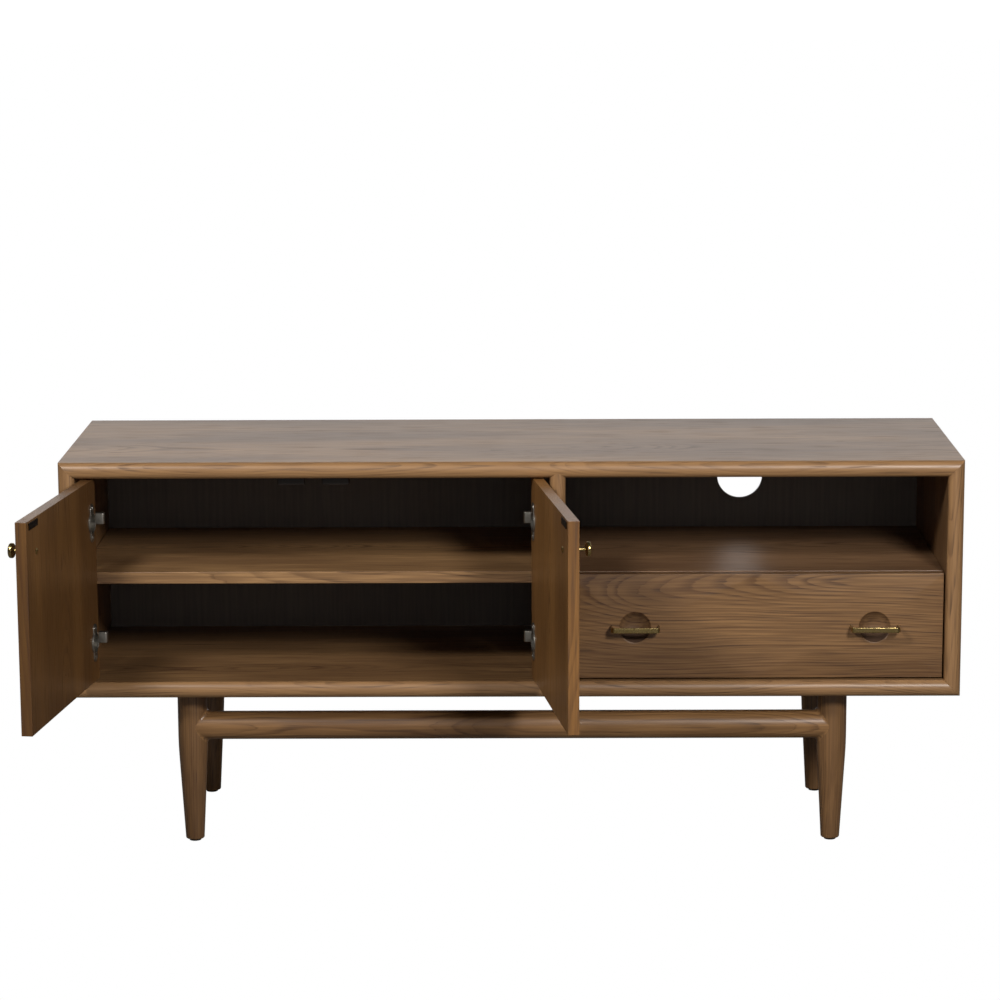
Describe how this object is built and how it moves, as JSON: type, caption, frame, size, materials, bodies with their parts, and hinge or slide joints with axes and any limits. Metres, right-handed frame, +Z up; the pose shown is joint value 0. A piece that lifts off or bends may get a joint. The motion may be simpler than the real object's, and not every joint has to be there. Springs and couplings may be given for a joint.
{
  "type": "tv stand with doors",
  "caption": "Low wooden media stand with a doored compartment, an open bay with a cable hole, a drawer and a turned-leg base joined by round rails.",
  "frame": {"origin": "on the floor under the middle of the whole footprint as stored, with both doors open and the drawer shut", "axes": "+X to the right seen from the front, +Y towards the back (the doors and drawer face -Y), +Z up"},
  "size_m": [1.5358, 0.7996, 0.665],
  "materials": {
    "stained_oak": "walnut-stained oak, satin lacquer",
    "back_board": "dark stained board, satin",
    "drawer_wood": "clear lacquered birch",
    "antique_brass": "antique brushed",
    "hinge_steel": "nickel-plated",
    "dark_steel": "blackened",
    "catch_plastic": "brown moulded",
    "glide_nylon": "black nylon"
  },
  "bodies": {
    "case": {"case_top": "stained_oak", "case_bottom": "stained_oak", "case_side_left": "stained_oak", "case_side_right": "stained_oak", "divider": "stained_oak", "back_panel": "back_board", "shelf_left": "stained_oak", "shelf_right": "stained_oak", "shelf_pin_left_front": "hinge_steel", "shelf_pin_left_rear": "hinge_steel", "shelf_pin_right_front": "hinge_steel", "shelf_pin_right_rear": "hinge_steel", "catch_left": "catch_plastic", "catch_right": "catch_plastic", "hinge_arm_left_lower": "hinge_steel", "hinge_arm_left_upper": "hinge_steel", "hinge_arm_right_lower": "hinge_steel", "hinge_arm_right_upper": "hinge_steel", "runner_case_left": "hinge_steel", "runner_case_right": "hinge_steel", "leg_front_left": "stained_oak", "leg_front_right": "stained_oak", "leg_back_left": "stained_oak", "leg_back_right": "stained_oak", "glide_front_left": "glide_nylon", "glide_front_right": "glide_nylon", "glide_back_left": "glide_nylon", "glide_back_right": "glide_nylon", "rail_front": "stained_oak", "rail_back": "stained_oak"},
    "door_left_body": {"door_left": "stained_oak", "hinge_cup_left_lower": "hinge_steel", "hinge_cup_left_upper": "hinge_steel", "knob_left": "antique_brass", "knob_screw_left": "antique_brass", "strike_left": "dark_steel"},
    "door_right_body": {"door_right": "stained_oak", "hinge_cup_right_lower": "hinge_steel", "hinge_cup_right_upper": "hinge_steel", "knob_right": "antique_brass", "knob_screw_right": "antique_brass", "strike_right": "dark_steel"},
    "drawer_body": {"drawer_front": "stained_oak", "drawer_side_left": "drawer_wood", "drawer_side_right": "drawer_wood", "drawer_back": "drawer_wood", "drawer_bottom": "drawer_wood", "runner_drawer_left": "hinge_steel", "runner_drawer_right": "hinge_steel", "pull_left": "antique_brass", "pull_right": "antique_brass"}
  },
  "joints": [
    {"name": "door_left_hinge", "type": "hinge", "parent": "case", "child": "door_left_body", "pos_m": [-0.69132, -0.02329, 0.465], "axis": [0, 0, -1], "range_deg": [-98.2, 0]},
    {"name": "door_right_hinge", "type": "hinge", "parent": "case", "child": "door_right_body", "pos_m": [0.06828, -0.02329, 0.465], "axis": [0, 0, 1], "range_deg": [-98.2, 0]},
    {"name": "drawer_slide", "type": "slide", "parent": "case", "child": "drawer_body", "axis": [0, -1, 0], "range_m": [0, 0.25]}
  ]
}
